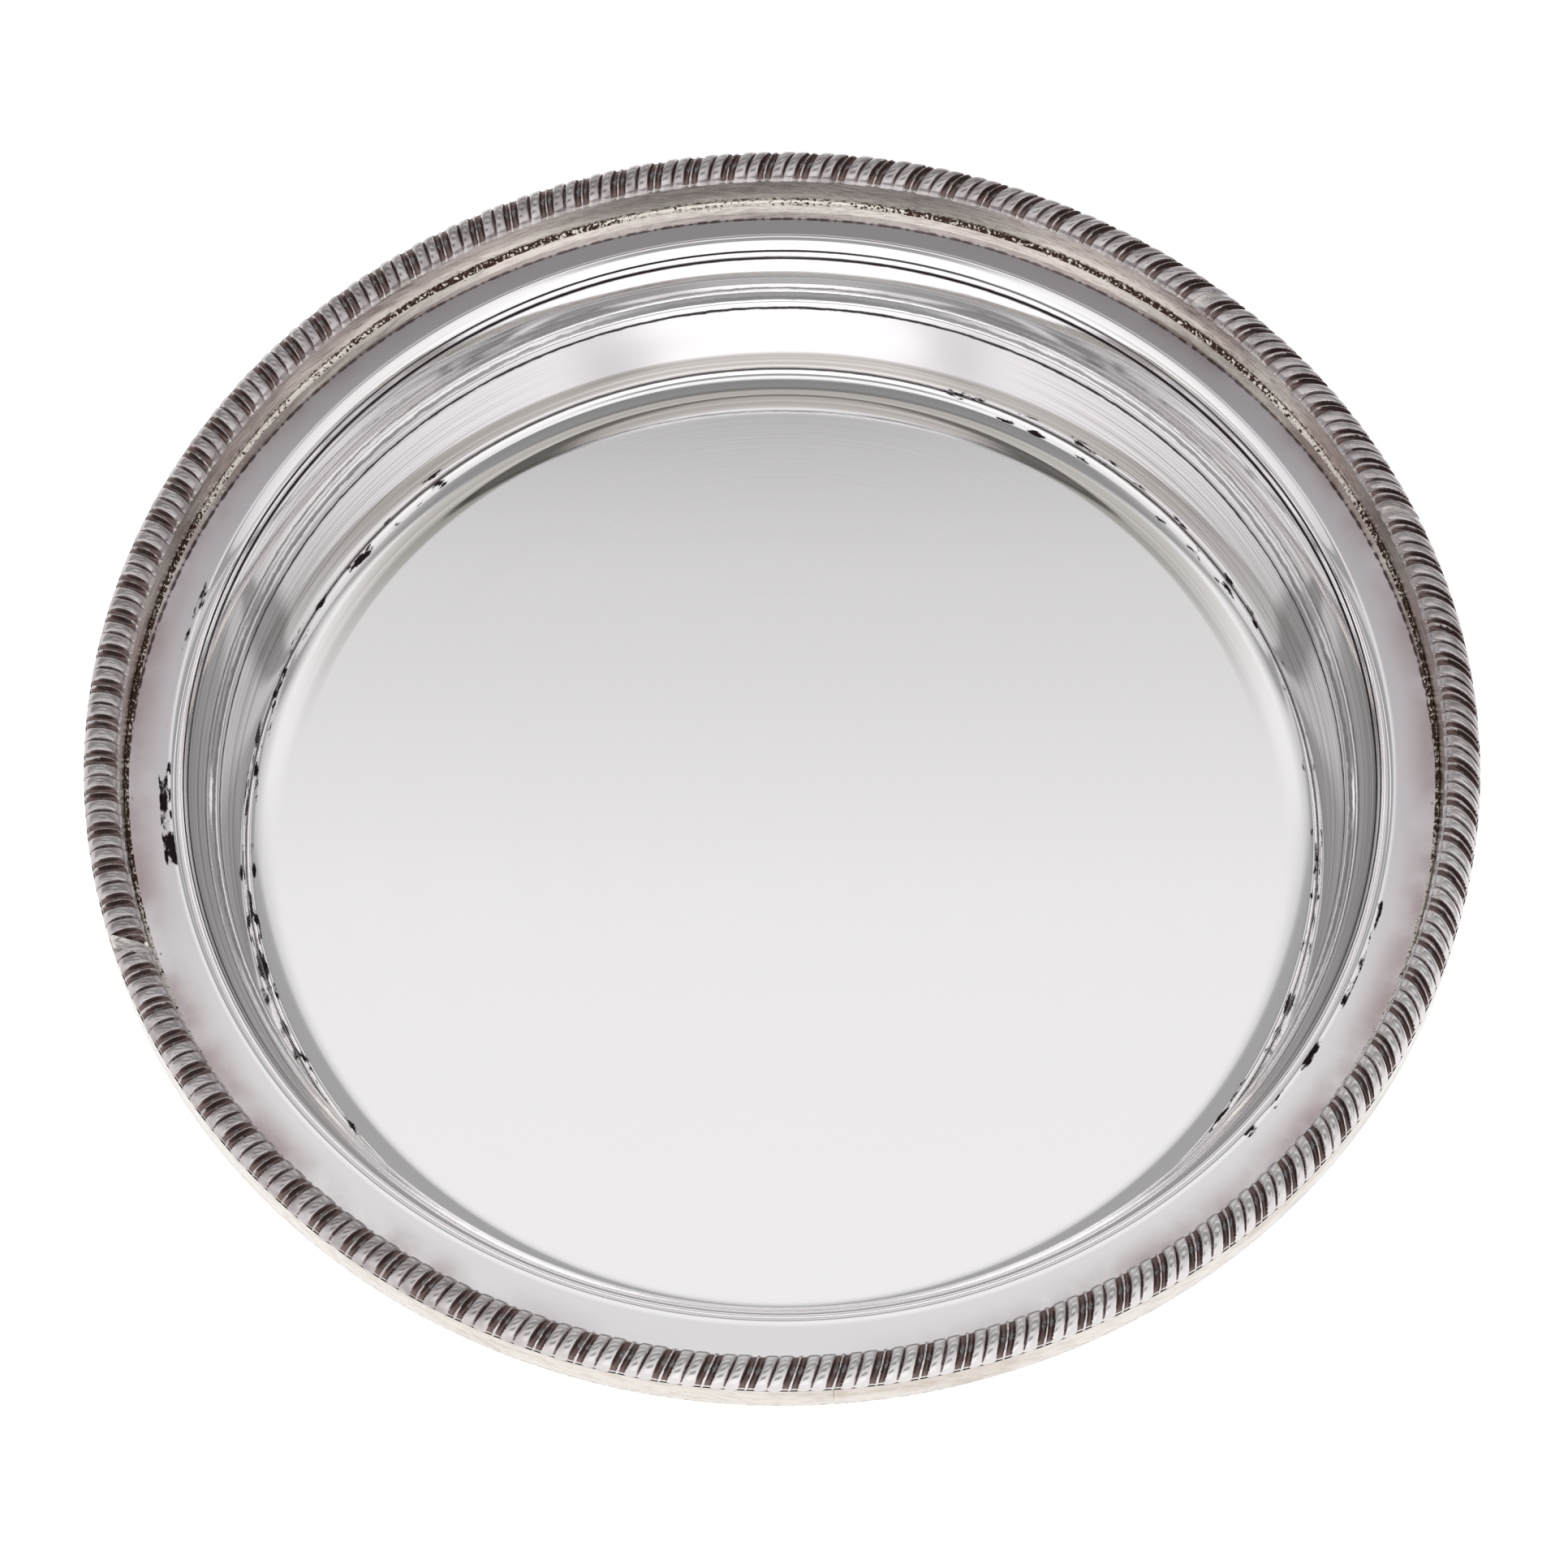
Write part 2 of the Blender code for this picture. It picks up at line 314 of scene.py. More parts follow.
@dataclass(frozen=True)
class PolishedPlate:
    """Electroplated silver on spun metal, buffed on the lathe: a mirror with faint turning lines, old tarnish and
    painted dark reflection lines.
    """

    patches: tuple[TarnishPatch, ...]
    lines: tuple[PaintedReflectionLine, ...]
    silver: str = "#f3f1f2"
    film: str = "#cbc6c9"
    thin_film: str = "#dfddde"
    warm_film: str = "#a8999a"
    tarnish_and_reflection: str = "#2a2123"
    margin: str = "#b4afa9"
    reflection_streak_grey: str = "#8d898b"
    gloss: float = 0.045
    film_gloss: float = 0.07
    tarnish_and_reflection_gloss: float = 0.42
    line_depth: float = 0.012

    def dark_marks_and_painted_lines(self, at: RoundCoordinates) -> Number:
        """Lays the dark marks on the upper side: the painted dark reflection lines, broken and a little ragged, and the
        tarnish patches.

        Args:
            at: the piece's coordinates.

        Returns:
            How dark each point is.
        """
        ragged = at.streaks(260.0, 900.0, 3.0, 1.7) - 0.5
        drawn = []
        for line in self.lines:
            off = (ragged * line.waver + at.height - line.height).step("ABSOLUTE")
            drawn.append(off.ramp(line.half_width * 0.35, line.half_width * 1.3, line.amount, 0.0))
        # The painted dark reflection lines are fainter on the near side.
        behind = at.near(90.0, 105.0, 45.0).ramp(0.0, 1.0, 0.25, 1.0)
        marks = [strongest(drawn) * at.streaks(9.0, 700.0, 3.0, 6.2).ramp(0.22, 0.5, 0.68, 1.0) * behind]
        ragged = at.streaks(90.0, 420.0, 5.0, 3.1)
        for patch in self.patches:
            band = (at.height if patch.by_height else at.radius).within(patch.low, patch.high, 0.7 * MM)
            reach = band * at.near(patch.azimuth, patch.half_width, 7.0) * patch.amount
            marks.append((ragged + reach).ramp(1.0, 1.06))
        # The dark marks are kept off the outside of the well; its tarnish was rubbed clean on the cloth.
        normal = add(at.tree, "ShaderNodeNewGeometry").outputs["Normal"]
        facing = Number(add(at.tree, "ShaderNodeSeparateXYZ", {0: normal}).outputs["Z"])
        return strongest(marks) * facing.ramp(-0.02, 0.1)

    def dress(self, flange_top: float, flange_inner: float, flange_outer: float) -> Material:
        """Builds the material.

        Args:
            flange_top: the height of the flange.
            flange_inner: the radius where the flange starts.
            flange_outer: the radius of the foot of the inner collar.

        Returns:
            The material.
        """
        material, at = new_material("buffed_silver_plate")

        # A dull film lies on the flange. At the back, beside the inner collar, the film is left off in streaks so the
        # bare silver mirrors a bright band there: a painted reflection band.
        film = at.radius.ramp(flange_inner, flange_inner + 0.8 * MM)
        film = film * at.height.within(flange_top - 0.4 * MM, flange_top + 1 * MM, 0.3 * MM)
        reflection_band = at.near(88.0, 38.0, 30.0) * at.streaks(20.0, 500.0, 3.0, 4.4)
        reflection_band = reflection_band * at.radius.ramp(flange_outer - 2.4 * MM, flange_outer - 1.6 * MM)
        film = film * (1.0 - reflection_band.ramp(0.2, 0.45, 0.0, 0.85))

        # The film is warmer towards the border on the two sides, and thin at the front.
        sides = strongest((at.near(185, 45, 35), at.near(-5, 50, 35)))
        warm = at.radius.ramp(flange_outer - 7 * MM, flange_outer) * sides * at.grain(16 * MM, 5.0).ramp(0.28, 0.62)
        film_colour = warm.blend(at.near(270.0, 45.0, 45.0).blend(self.film, self.thin_film), self.warm_film)
        colour = film.blend(self.silver, film_colour)

        # A beige ring of old polish lies at the back, where the floor starts to rise.
        ring = at.radius.within(93.6 * MM, 97.6 * MM, 0.6 * MM) * at.near(90.0, 42.0, 38.0)
        ring = ring * at.streaks(3.0, 1500.0, 4.0, 9.0).ramp(0.2, 0.62, 0.45, 1.0)
        colour = ring.blend(colour, self.margin)

        # Painted reflection streaks: on the two sides the wall gets fine grey lines round it.
        flanks = strongest((at.near(178.0, 38.0, 30.0), at.near(2.0, 38.0, 30.0)))
        reflection_streaks = at.streaks(5.0, 2300.0, 4.0, 2.4).ramp(0.46, 0.62, 0.0, 0.62)
        reflection_streaks = reflection_streaks * flanks * at.height.within(3 * MM, flange_top - 1.2 * MM, 0.8 * MM)
        colour = reflection_streaks.blend(colour, self.reflection_streak_grey)

        # Tarnish patches and painted dark reflection lines darken the colour.
        dark = self.dark_marks_and_painted_lines(at)
        colour = dark.blend(colour, self.tarnish_and_reflection)
        smear = at.streaks(9.0, 160.0, 4.0, 8.0).ramp(0.4, 0.75, 0.0, 0.03)
        gloss = film * (self.film_gloss - self.gloss) + self.gloss + smear + dark * self.tarnish_and_reflection_gloss

        # Turning lines about 0.35 mm apart: finer ones would not show.
        lines = at.streaks(5.0, 2900.0, 2.0, 5.0) * (1.0 - film)
        return shade(material, colour, gloss, lines, self.line_depth, 0.1 * MM)


@dataclass(frozen=True)
class WipedPlate:
    """Silver plate that polish and cloth have only half reached: streaked, yellowish and dull in places."""

    name: str
    bright: str
    dull: str
    gloss: float
    dull_gloss: float
    lean: float
    soil: str
    unevenness: float
    soil_low: float
    soil_high: float

    def dress(self) -> Material:
        """Builds the material.

        Returns:
            The material.
        """
        material, at = new_material(self.name)
        # Cloth marks lean across the band: the noise is sheared by the height before it is read.
        turned = at.vector("SCALE", {0: at.outward, "Scale": 16.0}).outputs[0]
        sheared = at.vector("ADD", {0: turned, 1: at.height * (self.lean / MM)}).outputs[0]
        marks = at.noise(sheared, 3.0, 6.0, 0.65)
        patch = at.streaks(14.0, 90.0, 3.0, 2.0).ramp(0.45, 0.62)
        share = (marks.ramp(0.44, 0.62) + patch) * 0.5
        low = at.height.within(self.soil_low, self.soil_high, 0.5 * MM)
        specks = (low * at.grain(0.8 * MM, 4.0)).ramp(0.42, 0.6)
        colour = specks.blend(share.blend(self.bright, self.dull), self.soil)
        gloss = share.ramp(0.0, 1.0, self.gloss, self.dull_gloss)
        return shade(material, colour, gloss, marks, self.unevenness, 0.3 * MM)


@dataclass(frozen=True)
class StampedPlate:
    """Silver-plated strip stamped in a die: rubbed bright on the lobes, brown-black sulphide left in the recesses."""

    bright: str = "#c6c1c1"
    film: str = "#8d8383"
    sulphide: str = "#7d6b66"
    painted_lit_side: str = "#e6e3e3"
    gloss: float = 0.2
    sulphide_gloss: float = 0.5

    def dress(self) -> Material:
        """Builds the material, which reads how high each point was stamped from the mesh's relief attribute.

        Returns:
            The material.
        """
        material, at = new_material("stamped_silver_plate")
        relief = Number(add(at.tree, "ShaderNodeAttribute", attribute_name="relief").outputs["Fac"])
        pits = at.grain(0.55 * MM, 4.0)
        rubbed = (pits * 0.22 + (relief - 0.11)).ramp(0.62, 0.80)
        cloud = at.grain(3.5 * MM, 4.0).ramp(0.4, 0.7)
        skin = (cloud * 0.55 + 0.15).blend(self.bright, self.film)
        # Painted light: the lobes on the near right are painted lighter, where they catch the most light.
        skin = (at.near(302.0, 38.0, 26.0) * 0.7).blend(skin, self.painted_lit_side)
        gloss = rubbed.ramp(0.0, 1.0, self.sulphide_gloss, self.gloss)
        return shade(material, rubbed.blend(self.sulphide, skin), gloss, pits, 0.12, 0.15 * MM)


@dataclass(frozen=True)
class SoftSolder:
    """Tin-lead solder: grey, slightly glossy, granular where it was left rough, with brown flux residue."""

    name: str
    metal: str
    flux: str
    flux_share: float
    gloss: float
    heavy: tuple[Point, ...] = ()

    def dress(self) -> Material:
        """Builds the material.

        Returns:
            The material.
        """
        material, at = new_material(self.name)
        grains = at.grain(0.6 * MM, 5.0)
        loaded = grains
        for azimuth, half_width in self.heavy:
            loaded = loaded + at.near(azimuth, half_width, 12.0) * 0.16
        residue = loaded.ramp(0.72 - self.flux_share * 0.5, 0.8 - self.flux_share * 0.4)
        gloss = residue.ramp(0.0, 1.0, self.gloss, 0.6)
        return shade(material, residue.blend(self.metal, self.flux), gloss, grains, 0.5, 0.3 * MM)


# ---- mesh helpers


def bent_outline(corners: list[tuple[float, float, float]], steps: int) -> list[Point]:
    """Rounds the corners of an outline.

    Args:
        corners: (radius, height, bend) for each corner; a bend of 0 leaves it sharp.
        steps: lengths in each bend.

    Returns:
        The outline's (radius, height) points.
    """
    points: list[Point] = []
    for index, (radius, height, bend) in enumerate(corners):
        if not bend:
            points.append((radius, height))
            continue
        corner = Vector((radius, height))
        back = (Vector(corners[index - 1][:2]) - corner).normalized()
        onward = (Vector(corners[(index + 1) % len(corners)][:2]) - corner).normalized()
        half = back.angle(onward) / 2
        centre = corner + (back + onward).normalized() * (bend / math.sin(half))
        start, end = (math.atan2(*(corner + way * (bend / math.tan(half)) - centre).yx) for way in (back, onward))
        sweep = (end - start + math.pi) % math.tau - math.pi
        for step in range(steps + 1):
            turned = start + sweep * step / steps
            points.append((centre.x + bend * math.cos(turned), centre.y + bend * math.sin(turned)))
    return points


def offset_outline(points: list[Point], distance: float) -> list[Point]:
    """Moves an outline sideways by a sheet's thickness.

    Args:
        points: the outline, running outwards and up.
        distance: how far it moves, to its right.

    Returns:
        The moved outline.
    """
    moved: list[Point] = []
    for before, (radius, height), after in zip([points[0], *points], points, [*points[1:], points[-1]]):
        along = (Vector(after) - Vector(before)).normalized()
        moved.append((max(radius + along.y * distance, 0.0), height - along.x * distance))
    return moved


def outward_from_axis(place: Vector) -> tuple[float, Vector]:
    """A place's radius, and its direction from the axis."""
    radius = math.hypot(place.x, place.y)
    return radius, Vector((place.x / radius, place.y / radius, 0.0)) if radius > 1e-6 else Vector()


def share_between(value: float, low: float, high: float) -> float:
    """How far a value has gone from low to high, from 0 to 1."""
    return min(max((value - low) / (high - low), 0.0), 1.0)


def turned_mesh(name: str, outline: list[Point], steps: int, shift: Callable[[Vector], Vector] | None = None,
                opening: tuple[float, float] | None = None) -> Mesh:
    """Turns a closed outline about the Z axis.

    Args:
        name: the mesh's name.
        outline: (radius, height) points; a point at radius 0 becomes one pole.
        steps: divisions round the turn.
        shift: moves each point a little, for hand-made unevenness.
        opening: start and end azimuth in degrees of a piece that doesn't go all the way round.

    Returns:
        The mesh, closed and facing out.
    """
    shape = bmesh.new()
    start, end = (math.radians(a) for a in opening) if opening else (0.0, math.tau)
    poles = {index: shape.verts.new((0.0, 0.0, z)) for index, (r, z) in enumerate(outline) if r < 1e-6}
    rings: list[list[bmesh.types.BMVert]] = []
    for stop in range(steps + 1 if opening else steps):
        angle = start + (end - start) * stop / steps
        ring = []
        for index, (radius, height) in enumerate(outline):
            place = Vector((radius * math.cos(angle), radius * math.sin(angle), height))
            ring.append(poles.get(index) or shape.verts.new(shift(place) if shift else place))
        rings.append(ring)
    closing = [] if opening else [(rings[-1], rings[0])]
    for ring, following in [*zip(rings, rings[1:]), *closing]:
        for index in range(len(ring)):
            after = (index + 1) % len(ring)
            corners = dict.fromkeys((ring[index], following[index], following[after], ring[after]))
            if len(corners) > 2:
                shape.faces.new(list(corners))
    if opening:
        shape.faces.new(rings[0])
        shape.faces.new(rings[-1])
    return finished_mesh(name, shape)


def finished_mesh(name: str, shape: bmesh.types.BMesh, crease: float = 35.0) -> Mesh:
    """Ends a shape: normals out, smooth shading with sharp creases.

    Args:
        name: the mesh's name.
        shape: the shape, which is freed.
        crease: degrees past which an edge stays sharp.

    Returns:
        The mesh.
    """
    bmesh.ops.recalc_face_normals(shape, faces=shape.faces)
    mesh = bpy.data.meshes.new(name)
    shape.to_mesh(mesh)
    shape.free()
    mesh.shade_smooth()
    mesh.set_sharp_from_angle(angle=math.radians(crease))
    return mesh


def new_piece(name: str, mesh: Mesh, material: Material, slot: Slot, *nodes: str) -> None:
    """Puts a finished mesh in the scene as a piece of the plate.

    Args:
        name: the piece's name.
        mesh: its mesh, with its place in it.
        material: its finish.
        slot: not used.
        *nodes: the CAD nodes that it stands for.
    """
    mesh.materials.clear()
    mesh.materials.append(material)
    piece = bpy.data.objects.new(name, mesh)
    bpy.context.scene.collection.objects.link(piece)
    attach(piece, "root")
    if nodes:
        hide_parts(*nodes)
    log.info("%s: %d faces", name, len(mesh.polygons))


def node_tree(name: str, sizes: dict[str, float]) -> tuple[Tree, dict[str, Number]]:
    """Starts a Geometry Nodes tree.

    Args:
        name: the tree's name.
        sizes: its named inputs, where a whole number makes a whole-number input.

    Returns:
        The tree, and what each input gives.
    """
    tree = bpy.data.node_groups.new(name, "GeometryNodeTree")
    tree.interface.new_socket("Geometry", in_out="OUTPUT", socket_type="NodeSocketGeometry")
    for label, value in sizes.items():
        kind = "NodeSocketInt" if isinstance(value, int) else "NodeSocketFloat"
        tree.interface.new_socket(label, in_out="INPUT", socket_type=kind)
    given = tree.nodes.new("NodeGroupInput").outputs
    return tree, {label: Number(given[label]) for label in sizes}


def generated_mesh(name: str, shape: Socket, material: Material, sizes: dict[str, float]) -> Mesh:
    """Ends a Geometry Nodes tree, runs it and keeps what it makes as a plain mesh.

    Args:
        name: the mesh's name.
        shape: the tree's last geometry.
        material: its finish.
        sizes: the value of each named input.

    Returns:
        The mesh.
    """
    tree = shape.id_data
    real = add(tree, "GeometryNodeRealizeInstances", {"Geometry": shape}).outputs[0]
    dressed = add(tree, "GeometryNodeSetMaterial", {"Geometry": real, "Material": material}).outputs[0]
    add(tree, "NodeGroupOutput", {0: dressed})
    holder = bpy.data.objects.new(name, bpy.data.meshes.new(name))
    bpy.context.scene.collection.objects.link(holder)
    nodes = holder.modifiers.new("Make", "NODES")
    nodes.node_group = tree
    for item in tree.interface.items_tree:
        if item.in_out == "INPUT":
            nodes[item.identifier] = sizes[item.name]
    graph = bpy.context.evaluated_depsgraph_get()
    made = bpy.data.meshes.new_from_object(holder.evaluated_get(graph))
    bpy.data.objects.remove(holder, do_unlink=True)
    return made


# ---- the dish


@dataclass
class SpunProfile:
    """The upper surface of a spun sheet, drawn from its flange inwards and down to its floor."""

    radius: float
    height: float
    heading: float = 90.0
    points: list[Point] = field(default_factory=list)

    def straight(self, length: float, pieces: int) -> None:
        """Goes straight on.

        Args:
            length: how far.
            pieces: how many lengths it is cut into, which keeps the shading true beside the bends.
        """
        angle = math.radians(self.heading)
        start = (self.radius, self.height)
        for piece in range(1, pieces + 1):
            gone = length * piece / pieces
            self.points.append((start[0] - gone * math.sin(angle), start[1] - gone * math.cos(angle)))
        self.radius, self.height = self.points[-1]

    def bend(self, bend_radius: float, heading: float, pieces: int = 0) -> None:
        """Bends to a new heading.

        Args:
            bend_radius: the bend's radius.
            heading: degrees from straight down at its end; 90 is level.
            pieces: how many lengths the bend is cut into, or 0 for one every three degrees.
        """
        before, turn = math.radians(self.heading), heading - self.heading
        reach = math.copysign(bend_radius, -turn)
        count = pieces or max(3, round(abs(turn) / 3))
        start = (self.radius, self.height)
        for piece in range(1, count + 1):
            now = math.radians(self.heading + turn * piece / count)
            inward, down = reach * (math.cos(now) - math.cos(before)), reach * (math.sin(before) - math.sin(now))
            self.points.append((start[0] - inward, start[1] - down))
        self.radius, self.height = self.points[-1]
        self.heading = heading


@dataclass
class Dish:
    """The spun sheet: flat floor, lower wall, a small ledge, a slightly bulging upper wall, shoulder and flange."""

    flange_top: float
    edge_radius: float
    collar_foot: float
    sheet: float = 1.0 * MM
    shoulder_radius: float = 112.3 * MM
    shoulder_bend: float = 1.18 * MM
    shoulder_heading: float = 55.9
    upper_bend: float = 4.55 * MM
    upper_heading: float = 30.5
    bulge: float = 58.7 * MM
    ledge_top_heading: float = 21.9
    ledge_top_bend: float = 1.1 * MM
    ledge_heading: float = 52.8
    ledge_width: float = 1.35 * MM
    ledge_foot_bend: float = 1.13 * MM
    lower_heading: float = 10.3
    floor_bend: float = 2.56 * MM
    easing_heading: float = 71.4
    easing_bend: float = 14.0 * MM
    waver: float = 0.035 * MM
    off_centre: float = 0.6 * MM
    steps: int = 400

    def upper_surface(self) -> list[Point]:
        """The sheet's upper surface.

        Returns:
            Its points from the axis out to the edge.
        """
        path = SpunProfile(self.edge_radius, self.flange_top)
        path.points.append((path.radius, path.height))
        path.straight(self.edge_radius - self.shoulder_radius - 1 * MM, 6)
        path.straight(1 * MM, 4)
        path.bend(self.shoulder_bend, self.shoulder_heading)
        path.bend(self.upper_bend, self.upper_heading)
        path.bend(self.bulge, self.ledge_top_heading, 10)
        path.bend(self.ledge_top_bend, self.ledge_heading)
        path.straight(self.ledge_width, 3)
        path.bend(self.ledge_foot_bend, self.lower_heading)
        eased, lower = math.radians(self.easing_heading), math.radians(self.lower_heading)
        rise = self.easing_bend * (1 - math.sin(eased)) + self.floor_bend * (math.sin(eased) - math.sin(lower))
        path.straight((path.height - self.sheet - rise) / math.cos(lower), 10)
        path.bend(self.floor_bend, self.easing_heading)
        path.bend(self.easing_bend, 90.0)
        path.straight(1 * MM, 2)
        path.straight(path.radius, 6)
        return path.points[-2::-1]

    def outline(self) -> list[Point]:
        """The sheet's closed outline: the upper surface from the axis out, then the underside back to the axis."""
        under = offset_outline(upper := [(0.0, self.sheet), *self.upper_surface()], self.sheet)
        return upper + [*under[:1], *under[1:-1:2], under[-1]][::-1]

    def hand_made(self, place: Vector) -> Vector:
        """Adds the slight waver that buffing leaves, and sets the shoulder a little towards the back.

        Args:
            place: a point of the dish.

        Returns:
            The moved point.
        """
        radius, outward = outward_from_axis(place)
        top = self.flange_top
        wall = share_between(place.z, 4 * MM, 9 * MM) * share_between(top - place.z, 2.5 * MM, 5.5 * MM)
        ripple = noise.noise(outward * 5.0 + Vector((0.0, 0.0, place.z * 90.0)))
        raised = share_between(place.z, 24 * MM, 32 * MM)
        inside = 1.0 - share_between(radius, 113.2 * MM, 118.2 * MM)
        share = raised * raised * (3 - 2 * raised) * inside * inside * (3 - 2 * inside)
        return place + outward * (ripple * self.waver * wall) + Vector((0.0, self.off_centre * share, 0.0))

    def patches(self) -> tuple[TarnishPatch, ...]:
        """Where tarnish shows: in the bend at the floor and along the shoulder's edge.

        Returns:
            The patches.
        """
        low, high = self.sheet + 0.9 * MM, self.sheet + 4.2 * MM
        floor_bend = ((45, 28, 0.42), (150, 18, 0.42), (182, 22, 0.46), (215, 18, 0.44), (328, 26, 0.45), (2, 10, 0.40))
        rim = self.shoulder_radius + self.shoulder_bend * 0.5
        shoulder = (
            (187, 3.5, -0.8, 1.1, 0.52),
            (180, 3.0, -0.1, 1.3, 0.42),
            (166, 2.0, -0.8, 0.3, 0.44),
            (332, 13.0, -1.0, -0.1, 0.505),
        )
        return (
            *(TarnishPatch(azimuth, width, low, high, amount, True) for azimuth, width, amount in floor_bend),
            *(TarnishPatch(a, width, rim + near * MM, rim + far * MM, amount, False)
              for a, width, near, far, amount in shoulder),
        )

    def build(self) -> None:
        """Makes and dresses the dish."""
        # The painted dark reflection lines: height, half width, amount and waver; the lengths are in millimetres.
        lines = (
            (30.85, 0.24, 1.0, 0.10),
            (29.62, 0.36, 1.0, 0.16),
            (23.87, 0.24, 0.60, 0.7),
            (23.1, 0.12, 0.35, 0.5),
            (22.44, 0.24, 0.60, 0.6),
            (20.22, 0.42, 0.96, 0.7),
            (3.03, 0.30, 0.85, 0.3),
        )
        drawn = tuple(PaintedReflectionLine(level * MM, half * MM, amount, waver * MM) for level, half, amount, waver in lines)
        finish = PolishedPlate(self.patches(), drawn)
        material = finish.dress(self.flange_top, self.shoulder_radius - 0.3 * MM, self.collar_foot)
        mesh = turned_mesh("spun_dish", self.outline(), self.steps, self.hand_made)
        new_piece("spun_dish", mesh, material, Slot.POLISHED, "dish_body")


# ---- the border


@dataclass
class Collars:
    """The two upright bands that carry the gadroon strips, one inside the border and one outside."""

    foot: float
    head: float
    inner_foot_radius: float
    inner_head_radius: float
    outer_radius: float
    outer_foot: float
    inner_sheet: float = 0.6 * MM
    outer_sheet: float = 0.8 * MM
    edge_bend: float = 0.25 * MM
    butt_azimuth: float = 274.0
    butt_width: float = 0.07 * MM
    steps: int = 400

    def build_inner(self) -> None:
        """Makes the inner collar, whose foot sits in the solder on the flange."""
        name, foot, head, sheet = "inner_collar_band", self.inner_foot_radius, self.inner_head_radius, self.inner_sheet
        outline = [(foot, self.foot), (foot + sheet, self.foot), (head + sheet, self.head), (head, self.head)]
        finish = WipedPlate("streaked_silver_plate", "#f7f1e7", "#958a82", 0.05, 0.13, 0.55, "#6b5a4c", 0.12,
                            self.foot, self.foot + 1.2 * MM)
        new_piece(name, turned_mesh(name, outline, self.steps), finish.dress(), Slot.STREAKED, "inner_collar")

    def build_outer(self) -> None:
        """Makes the outer collar, a strip bent round and butted."""
        name, outer, foot, bend = "outer_collar_band", self.outer_radius, self.outer_foot, self.edge_bend
        inner = outer - self.outer_sheet
        corners = [
            (inner, foot, bend),
            (outer, foot, bend),
            (outer, self.head, bend * 0.4),
            (inner, self.head, 0.0),
            (inner, foot + 1 * MM, 0.0),
        ]
        half = math.degrees(self.butt_width / 2 / outer)
        span = (self.butt_azimuth + half, self.butt_azimuth + 360.0 - half)
        mesh = turned_mesh(name, bent_outline(corners, 5), self.steps, opening=span)
        finish = WipedPlate("satin_silver_plate", "#dbd5cd", "#c3b8ac", 0.2, 0.34, 0.15, "#8a7a6c", 0.06,
                            foot, foot + 0.4 * MM)
        new_piece(name, mesh, finish.dress(), Slot.SATIN, "outer_collar")


